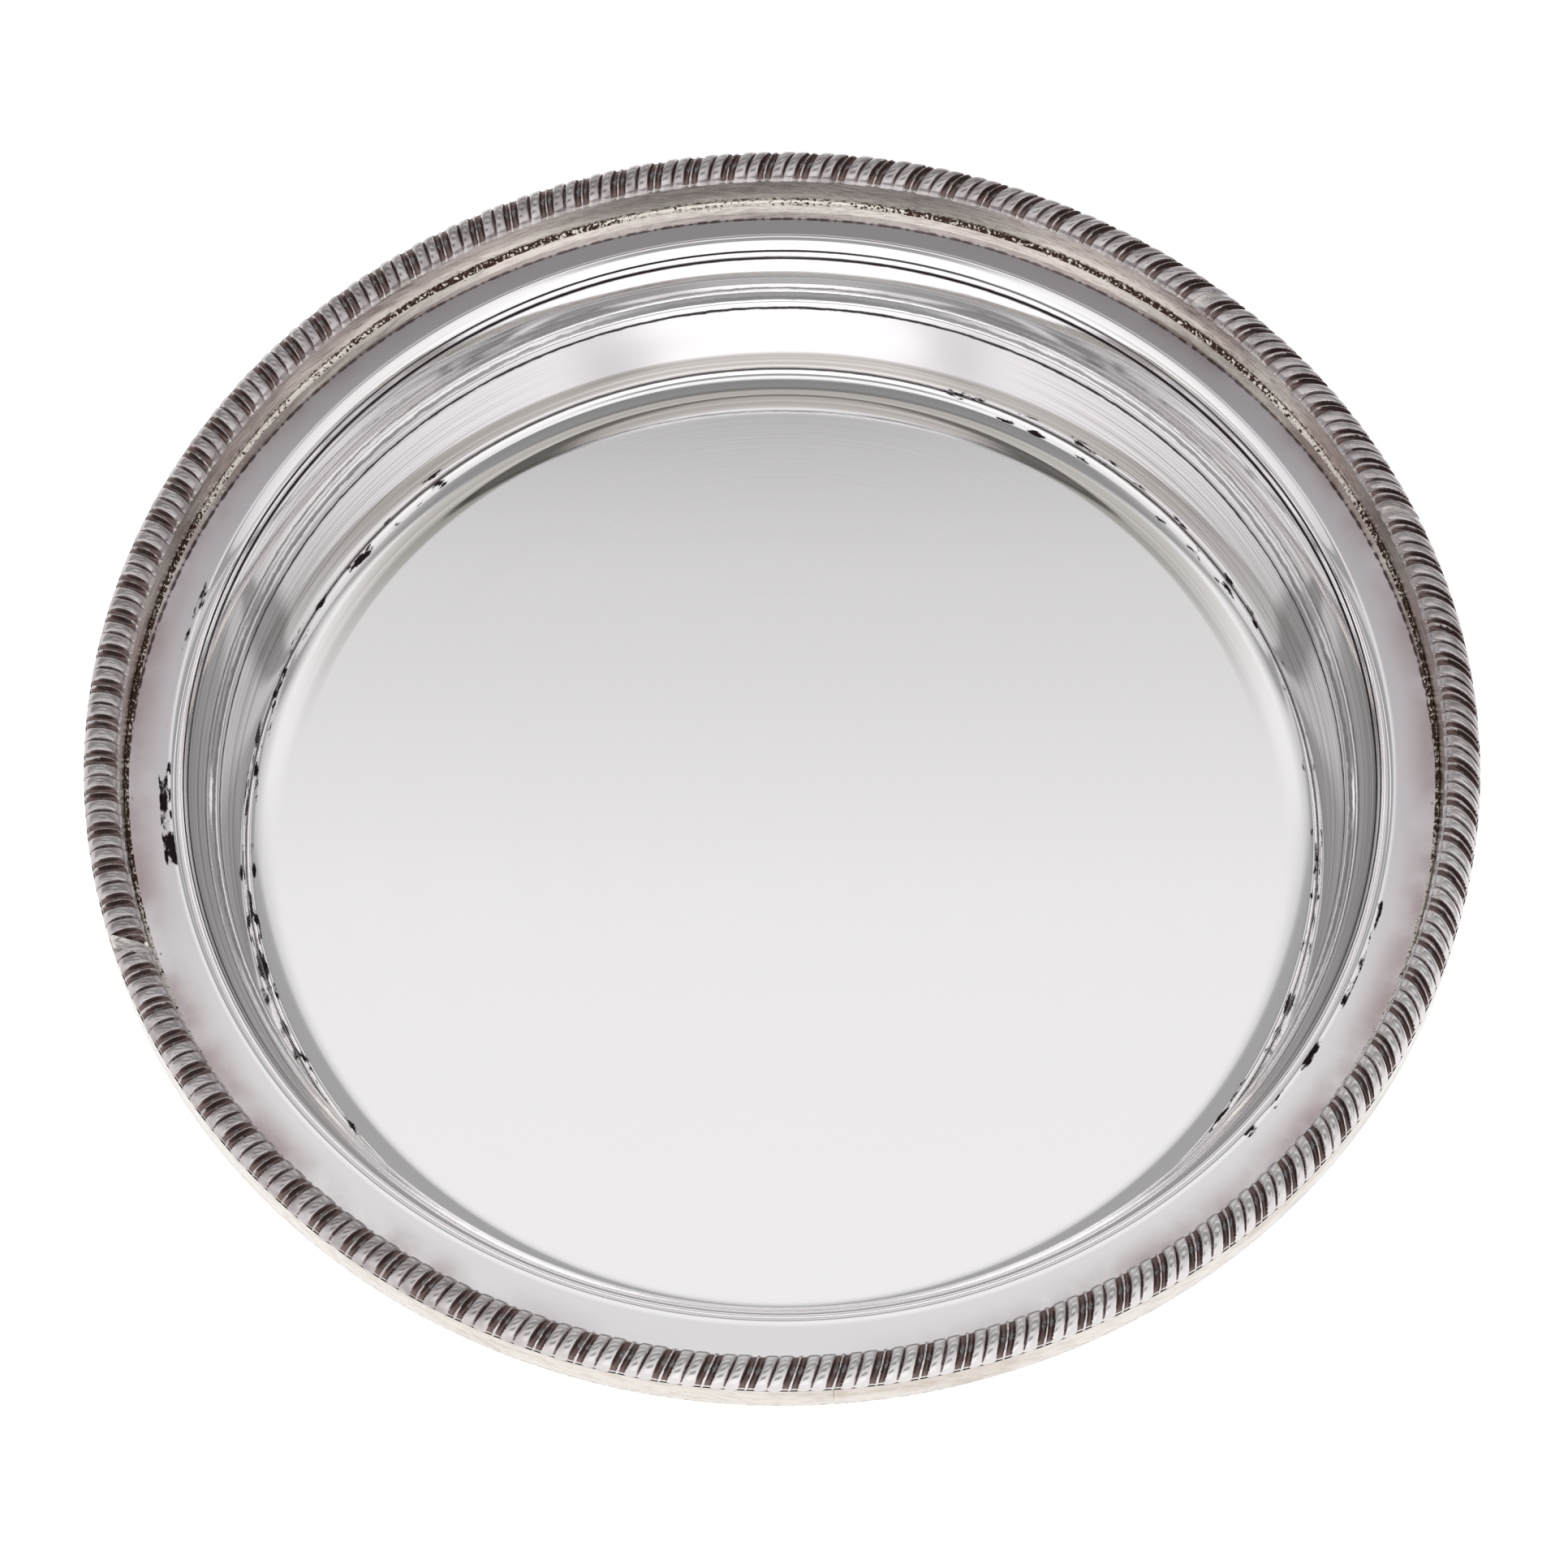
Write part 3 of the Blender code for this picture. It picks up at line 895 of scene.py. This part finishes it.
@dataclass
class GadroonStrip:
    """One length of stamped strip: a half-round moulding of slanted lobe pairs with a thin thread between pairs."""

    which: Strip
    start: float
    end: float
    middle_radius: float
    half_width: float
    base: float
    crown: float
    pitch: float = 360.0 / 106
    first_groove: float = 1.0
    slant: float = 1.2
    slant_swing: float = 1.0
    slant_peak: float = 10.0
    lip: float = 0.32 * MM
    points_across: int = 30
    points_per_pair: int = 48

    def relief(self) -> tuple[Point, ...]:
        """The stamped height along one repeat.

        Returns:
            (share of the repeat, share of full height) pairs: groove, wide lobe, recess, thread, recess, narrow lobe.
        """
        wide_lobe = ((0.0, 0.62), (0.016, 0.66), (0.036, 0.85), (0.075, 0.95), (0.18, 1.0), (0.28, 0.95), (0.325, 0.82))
        recesses = ((0.355, 0.52), (0.44, 0.46), (0.475, 0.52)), ((0.560, 0.52), (0.60, 0.46), (0.665, 0.50))
        thread = ((0.500, 0.90), (0.535, 0.90))
        narrow_lobe = ((0.695, 0.80), (0.74, 0.93), (0.83, 0.97), (0.91, 0.93), (0.962, 0.84))
        groove = ((0.984, 0.66), (1.0, 0.62))
        return (*wide_lobe, *recesses[0], *thread, *recesses[1], *narrow_lobe, *groove)

    def build_tree(self, sizes: dict[str, float]) -> Socket:
        """Builds the Geometry Nodes tree that stamps the strip out of a grid.

        Args:
            sizes: the tree's named inputs.

        Returns:
            The stamped strip.
        """
        tree, given = node_tree("gadroon_stamping", sizes)
        counts = {"Vertices X": given["Points Along"], "Vertices Y": given["Points Across"]}
        grid = add(tree, "GeometryNodeMeshGrid", {"Size X": 1.0, "Size Y": 1.0, **counts}).outputs["Mesh"]
        flat = add(tree, "ShaderNodeSeparateXYZ", {0: add(tree, "GeometryNodeInputPosition").outputs[0]}).outputs
        azimuth = (Number(flat["X"]) + 0.5) * (given["End"] - given["Start"]) + given["Start"]
        # The last tenth across runs back under the strip and closes it.
        across = (Number(flat["Y"]) + 0.5) * 1.1
        over = across.step("MINIMUM", 1.0)
        under = ((across - 1.0) / 0.1).step("MAXIMUM", 0.0)
        turned = over * math.pi
        sine = turned.step("SINE")

        # Each stamp is a little different: slow noise shifts the lobes, and fine noise frets the recesses' edges.
        slow_at, fine_at = combine(tree, azimuth, across, 0.0), combine(tree, azimuth, across * 4.5, 7.0)
        slow = Number(add(tree, "ShaderNodeTexNoise", {"Vector": slow_at, "Scale": 0.55, "Detail": 1.0}).outputs[0])
        fine = Number(add(tree, "ShaderNodeTexNoise", {"Vector": fine_at, "Scale": 3.4, "Detail": 3.0}).outputs[0])
        repeats = (azimuth - given["First Groove"]) / given["Pitch"]
        share = (repeats + (slow - 0.5) * 0.05 + (fine - 0.5) * 0.022).step("FRACT")
        # The narrow lobe's edge beside the recess is bitten into small teeth.
        teeth = (across * 13.0).step("PINGPONG", 0.5) - 0.25
        beside = share.ramp(0.60, 0.64) * share.ramp(0.70, 0.74, 1.0, 0.0)
        curve = add(tree, "ShaderNodeFloatCurve", {"Value": teeth * beside * 0.07 + share})
        points = curve.mapping.curves[0].points
        for index, place in enumerate(self.relief()):
            (points[index] if index < 2 else points.new(*place)).location = place
        curve.mapping.update()
        profile = Number(curve.outputs[0])

        # The lobes die away only at the very feet, where the strip's plain edges run on as a bright lip.
        faded = 1.0 - (1.0 - profile) * sine.ramp(0.0, 0.32)
        height = ((fine - 0.5) * 0.02 + faded).step("MINIMUM", 1.0)

        # At the feet the lobes end in a wavy edge.
        full = given["Half Width"] * 2.0
        inner_wave = over.ramp(0.90, 1.0) * (profile * 1.4 + -0.4) * given["Lip"]
        outer_wave = over.ramp(0.0, 0.12, 1.0, 0.0) * (1.0 - profile) * given["Lip"]
        reach = given["Half Width"] * turned.step("COSINE") * (1.0 - (1.0 - height) * 0.22)
        reach = reach - (outer_wave + inner_wave) * (1.0 - under)
        radius = given["Middle Radius"] + reach + full * under

        # Lobes lean along the border, and more at the outer edge than at the inner one. The strips were bent by
        # hand, so the lean swings between the two ends of a diameter.
        inward = (given["Middle Radius"] + given["Half Width"] - radius) / full
        lean = inward * 1.42 + inward * inward * -0.42 + -0.5
        swing = (azimuth - given["Slant Peak"]).step("RADIANS").step("COSINE") * given["Slant Swing"] + given["Slant"]
        angle = (lean * swing + azimuth).step("RADIANS")
        place = swept(radius, angle, given["Base"] + given["Crown"] * height * sine)

        shown = height.step("MAXIMUM", 1.0 - sine.ramp(0.06, 0.24))
        named = {"Geometry": grid, "Name": "relief", "Value": shown}
        stored = add(tree, "GeometryNodeStoreNamedAttribute", named, data_type="FLOAT", domain="POINT").outputs[0]
        moved = add(tree, "GeometryNodeSetPosition", {"Geometry": stored, "Position": place}).outputs[0]
        return add(tree, "GeometryNodeMergeByDistance", {"Geometry": moved, "Distance": 0.002 * MM}).outputs[0]

    def build(self, material: Material) -> None:
        """Makes and dresses the strip.

        Args:
            material: the finish that all three strips share.
        """
        name = f"gadroon_{self.which.value}"
        given = ("start", "end", "middle_radius", "half_width", "base", "crown", "pitch", "first_groove", "slant",
                 "slant_swing", "slant_peak", "lip", "points_across")
        sizes = {label.replace("_", " ").title(): getattr(self, label) for label in given}
        sizes["Points Along"] = int((self.end - self.start) / self.pitch * self.points_per_pair) + 1
        mesh = generated_mesh(name, self.build_tree(sizes), material, sizes)
        shape = bmesh.new()
        shape.from_mesh(mesh)
        bpy.data.meshes.remove(mesh)
        bmesh.ops.holes_fill(shape, edges=[edge for edge in shape.edges if edge.is_boundary], sides=0)
        closed = finished_mesh(name, shape, 60.0)
        new_piece(name, closed, material, Slot.STAMPED, f"gadroon_strip_{self.which.value}")


@dataclass
class SolderSeam:
    """The run of solder at the foot of the inner collar, with loose beads of solder beside it."""

    foot: float
    outer_radius: float
    leg: float = 0.7 * MM
    beads: int = 90
    steps: int = 720
    heavy: tuple[Point, ...] = ((60.0, 14.0), (120.0, 6.0), (8.0, 10.0), (175.0, 14.0), (300.0, 16.0), (240.0, 10.0))

    def uneven(self, place: Vector) -> Vector:
        """Swells and thins the run.

        Args:
            place: a point of the smooth run.

        Returns:
            The point, moved by up to a third of the run's size.
        """
        radius, outward = outward_from_axis(place)
        swell = noise.noise(place * 900.0) * 0.2 + noise.noise(outward * 7.0) * 0.35
        inward, lifted = max(self.outer_radius - radius, 0.0), max(place.z - self.foot, 0.0)
        return place - outward * (inward * swell) + Vector((0.0, 0.0, lifted * swell * 0.5))

    def bead_tree(self, sizes: dict[str, float]) -> Socket:
        """Builds the Geometry Nodes tree that scatters beads round the seam.

        Args:
            sizes: the tree's named inputs.

        Returns:
            The beads.
        """
        tree, given = node_tree("solder_beads", sizes)
        draws: list[Number] = []
        for low, high in ((0.0, math.tau), (-1.1 * MM, 0.1 * MM), (given["Smallest"], given["Largest"])):
            limits = {2: low, 3: high, "Seed": given["Seed"] + float(len(draws))}
            draws.append(Number(add(tree, "FunctionNodeRandomValue", limits, data_type="FLOAT").outputs[1]))
        turn, stray, size = draws
        place = swept(given["Radius"] + stray, turn, size * 0.35 + given["Level"])
        points = add(tree, "GeometryNodePoints", {"Count": given["Count"]}).outputs[0]
        moved = add(tree, "GeometryNodeSetPosition", {0: points, "Position": place}).outputs[0]
        bead = add(tree, "GeometryNodeMeshUVSphere", {"Segments": 10, "Rings": 6, "Radius": 1.0}).outputs[0]
        squat = combine(tree, size, size, size * 0.75)
        copies = {"Points": moved, "Instance": bead, "Scale": squat}
        return add(tree, "GeometryNodeInstanceOnPoints", copies).outputs[0]

    def build(self) -> None:
        """Makes and dresses the run and its beads."""
        outer, foot, leg = self.outer_radius, self.foot, self.leg
        corners = [(outer, foot + leg, 0.0), (outer, foot, 0.0), (outer - leg, foot, 0.0),
                   (outer - leg * 0.35, foot + leg * 0.35, leg * 0.8)]
        mesh = turned_mesh("seam_run", bent_outline(corners, 4), self.steps, self.uneven)
        rough = SoftSolder("brown_flux_solder", "#e2dcd2", "#4a382e", 0.38, 0.2, self.heavy).dress()
        new_piece("seam_run", mesh, rough, Slot.BROWN_SOLDER, "inner_seam_solder")

        drop = SoftSolder("bright_solder_drops", "#d8d3cb", "#6a5a4c", 0.25, 0.2).dress()
        sizes = {"Count": self.beads, "Radius": outer - leg * 0.6, "Level": foot, "Smallest": 0.10 * MM,
                 "Largest": 0.30 * MM, "Seed": 11}
        mesh = generated_mesh("seam_beads", self.bead_tree(sizes), drop, sizes)
        mesh.shade_smooth()
        new_piece("seam_beads", mesh, drop, Slot.BROWN_SOLDER)


@dataclass
class StripJoint:
    """The lump of solder, filed nearly flush, between two strips."""

    name: str
    azimuth: float
    middle_radius: float
    half_width: float
    base: float
    crown: float
    opening: float
    slant: float = 2.2
    along: int = 14
    across: int = 18

    def point(self, stop: int, step: int) -> tuple[float, float, float]:
        """A point of the lump's upper surface.

        Args:
            stop: how many lengths along the border.
            step: how many lengths across it, from its outer foot.

        Returns:
            The point.
        """
        reach = math.degrees(self.opening / self.middle_radius) / 2
        azimuth = self.azimuth + reach * (2 * stop / self.along - 1)
        turned = math.pi * step / self.across
        lump = 0.9 + 0.1 * noise.noise(Vector((azimuth * 2.5, step * 0.45, self.azimuth)))
        crown = self.crown * min(lump - 0.07 * math.sin(math.pi * stop / self.along), 0.98)
        radius = self.middle_radius + self.half_width * (0.95 + 0.03 * lump) * math.cos(turned)
        inward = (self.middle_radius + self.half_width - radius) / (2 * self.half_width)
        angle = math.radians(azimuth + self.slant * (1.42 * inward - 0.42 * inward * inward - 0.5))
        return (radius * math.cos(angle), radius * math.sin(angle), self.base + crown * math.sin(turned))

    def build(self, material: Material) -> None:
        """Makes and dresses the joint's solder.

        Args:
            material: the finish that all the joints share.
        """
        shape = bmesh.new()
        stops, steps = range(self.along + 1), range(self.across + 1)
        rows = [[shape.verts.new(self.point(stop, step)) for step in steps] for stop in stops]
        for row, following in zip(rows, rows[1:]):
            for step in range(self.across):
                shape.faces.new((row[step], following[step], following[step + 1], row[step + 1]))
            shape.faces.new((row[0], row[-1], following[-1], following[0]))
        shape.faces.new(rows[0])
        shape.faces.new(rows[-1])
        name = f"joint_{self.name}"
        new_piece(name, finished_mesh(name, shape, 50.0), material, Slot.BRIGHT_SOLDER, f"joint_solder_{self.name}")


@dataclass
class Border:
    """The raised border: three gadroon strips and the joints between them."""

    outer_radius: float
    base: float
    crown: float
    width: float = 6.2 * MM
    opening: float = 2.6 * MM
    closing: float = 21.5
    right: float = 48.5
    left: float = 200.5

    def build(self) -> None:
        """Makes and dresses the border."""
        middle, half = self.outer_radius - self.width / 2, self.width / 2
        trim = math.degrees(self.opening / middle) / 2 - 0.25
        spans = {
            Strip.MIDDLE: (self.right, self.left),
            Strip.LONG: (self.left, self.closing + 360.0),
            Strip.SHORT: (self.closing, self.right),
        }
        stamped = StampedPlate().dress()
        for which, (start, end) in spans.items():
            GadroonStrip(which, start + trim, end - trim, middle, half, self.base, self.crown).build(stamped)
        solder = SoftSolder("filed_soft_solder", "#cfcac6", "#7b6d62", 0.2, 0.28).dress()
        for name in ("closing", "right", "left"):
            StripJoint(name, getattr(self, name), middle, half, self.base, self.crown, self.opening).build(solder)


# ---- studio


@dataclass
class Studio:
    """A white tent with grey gaps, a pale table and one soft lamp.

    The tent is two strips, one over the middle and one to each side. Each is a list of angles in degrees, from 0 at
    the back of the table over the top to 180 at the front, with the brightness there.
    """

    tent: tuple[Point, ...] = (
        (0.0, 0.62), (25.0, 0.52), (28.0, 1.50), (31.0, 1.50), (34.0, 0.42), (56.0, 0.40), (58.3, 0.45), (59.0, 0.61),
        (60.3, 0.74), (61.2, 0.77), (62.7, 0.85), (64.0, 0.92), (65.5, 0.94), (69.0, 0.96), (75.0, 0.95), (78.0, 0.32),
        (93.0, 0.26), (96.0, 1.00), (118.0, 1.10), (121.0, 0.34), (137.0, 0.40), (141.0, 1.30), (180.0, 1.40),
    )
    side_tent: tuple[Point, ...] = (
        (0.0, 0.75), (13.0, 0.70), (16.0, 0.40), (29.0, 0.36), (32.0, 0.95), (36.0, 1.00), (39.0, 0.32), (57.0, 0.42),
        (62.0, 0.64), (68.0, 0.66), (71.0, 0.36), (77.0, 0.36), (80.0, 0.72), (95.0, 0.84), (125.0, 1.00),
        (150.0, 1.10), (180.0, 1.20),
    )
    table_tone: str = "#9e9e9e"
    table_light: float = 0.8
    table_size: float = 8.0
    lamp_size: float = 1.6
    lamp_power: float = 11.0
    sensor: float = 36.0
    lens: float = 116.57
    distance: float = 920.6 * MM
    elevation: float = 62.76
    aim: tuple[float, float, float] = (0.35 * MM, -10.26 * MM, 39.7 * MM)

    def build_tent(self) -> None:
        """Makes the tent, whose brightness follows the angle over the table."""
        world = bpy.data.worlds.new("white_tent")
        bpy.context.scene.world = world
        world.use_nodes = True
        tree = world.node_tree
        tree.nodes.clear()
        way = add(tree, "ShaderNodeTexCoord").outputs["Generated"]
        parts = add(tree, "ShaderNodeSeparateXYZ", {0: way}).outputs
        share = Number(parts["Z"]).step("ARCTAN2", parts["Y"]) / math.pi
        tones: list[Socket] = []
        for strip in (self.tent, self.side_tent):
            node = add(tree, "ShaderNodeValToRGB", {0: share})
            band = node.color_ramp.elements
            for index, (degrees, tone) in enumerate(strip):
                element = band[index] if index < 2 else band.new(degrees / 180.0)
                element.position = degrees / 180.0
                element.color = (tone, tone, tone, 1.0)
            tones.append(node.outputs[0])
        seen = Number(parts["X"]).step("ABSOLUTE").ramp(0.24, 0.52).blend(*tones)
        light = add(tree, "ShaderNodeBackground", {"Color": seen, "Strength": 1.0})
        add(tree, "ShaderNodeOutputWorld", {0: light.outputs[0]})

    def build_table(self) -> None:
        """Makes the table top: matt white paper with a little light of its own, as on a product table."""
        mesh = bpy.data.meshes.new("table")
        shape = bmesh.new()
        bmesh.ops.create_grid(shape, x_segments=1, y_segments=1, size=self.table_size / 2)
        shape.to_mesh(mesh)
        shape.free()
        material = bpy.data.materials.new("matt_white_paper")
        material.use_nodes = True
        paper = {
            "Base Color": linear(self.table_tone),
            "Roughness": 0.9,
            "Specular IOR Level": 0.1,
            "Emission Color": linear("#ffffff"),
            "Emission Strength": self.table_light,
        }
        for name, value in paper.items():
            material.node_tree.nodes["Principled BSDF"].inputs[name].default_value = value
        mesh.materials.append(material)
        table = bpy.data.objects.new("table", mesh)
        table.location.z = -0.1 * MM
        bpy.context.scene.collection.objects.link(table)

    def build_lamp(self) -> None:
        """Hangs one wide soft lamp over the table. It lights the paper and isn't mirrored in the silver."""
        lamp = bpy.data.lights.new("overhead_softbox", "AREA")
        lamp.shape = "DISK"
        lamp.size = self.lamp_size
        lamp.energy = self.lamp_power
        holder = bpy.data.objects.new("overhead_softbox", lamp)
        holder.location = (-0.3, -0.2, 1.6)
        holder.rotation_euler = Vector((0.3, 0.2, -1.6)).to_track_quat("-Z", "Y").to_euler()
        holder.visible_glossy = False
        bpy.context.scene.collection.objects.link(holder)

    def build_camera(self) -> None:
        """Sets the camera in front of the table, looking down into the dish."""
        camera = bpy.data.cameras.new("camera")
        camera.sensor_width = self.sensor
        camera.lens = self.lens
        camera.clip_end = 50.0
        tilt = math.radians(self.elevation)
        holder = bpy.data.objects.new("camera", camera)
        holder.location = Vector(self.aim) + Vector((0.0, -math.cos(tilt), math.sin(tilt))) * self.distance
        holder.rotation_euler = (math.pi / 2 - tilt, 0.0, 0.0)
        bpy.context.scene.collection.objects.link(holder)
        bpy.context.scene.camera = holder

    def build(self) -> None:
        """Makes the whole studio."""
        bpy.context.scene.view_settings.view_transform = "Standard"
        for part in (self.build_tent, self.build_table, self.build_lamp, self.build_camera):
            part()


def dress_fillings(frame: dict[str, Any]) -> None:
    """Gives the hidden solder inside the strips its finish.

    Args:
        frame: what the frame holds.
    """
    dull = SoftSolder("dull_soft_solder", "#8d8c8c", "#5c5249", 0.3, 0.45).dress()
    for name, node in frame["nodes"].items():
        if name.startswith("strip_filling"):
            node.data.materials.clear()
            node.data.materials.append(dull)


def main() -> None:
    """Builds and dresses every piece, then the studio."""
    logging.basicConfig(level=logging.INFO, format="%(name)s: %(message)s")
    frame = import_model()
    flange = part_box("dish_body")[1]
    strip_low, strip_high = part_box("gadroon_strip_long")
    collar_low, collar_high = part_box("outer_collar")
    inner_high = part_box("inner_collar")[1].x

    lean = 0.5 * MM
    inner_head = inner_high - Collars.inner_sheet
    collars = Collars(flange.z, strip_low.z, inner_head - lean, inner_head, collar_high.x, collar_low.z)
    Dish(flange.z, flange.x, inner_high - 1.6 * MM).build()
    collars.build_inner()
    collars.build_outer()
    SolderSeam(flange.z, inner_head - lean).build()
    # The strips keep a hair inside the outer collar's face.
    Border(collar_high.x - 0.01 * MM, strip_low.z, strip_high.z - strip_low.z).build()
    dress_fillings(frame)
    Studio().build()


if __name__ == "__main__":
    main()
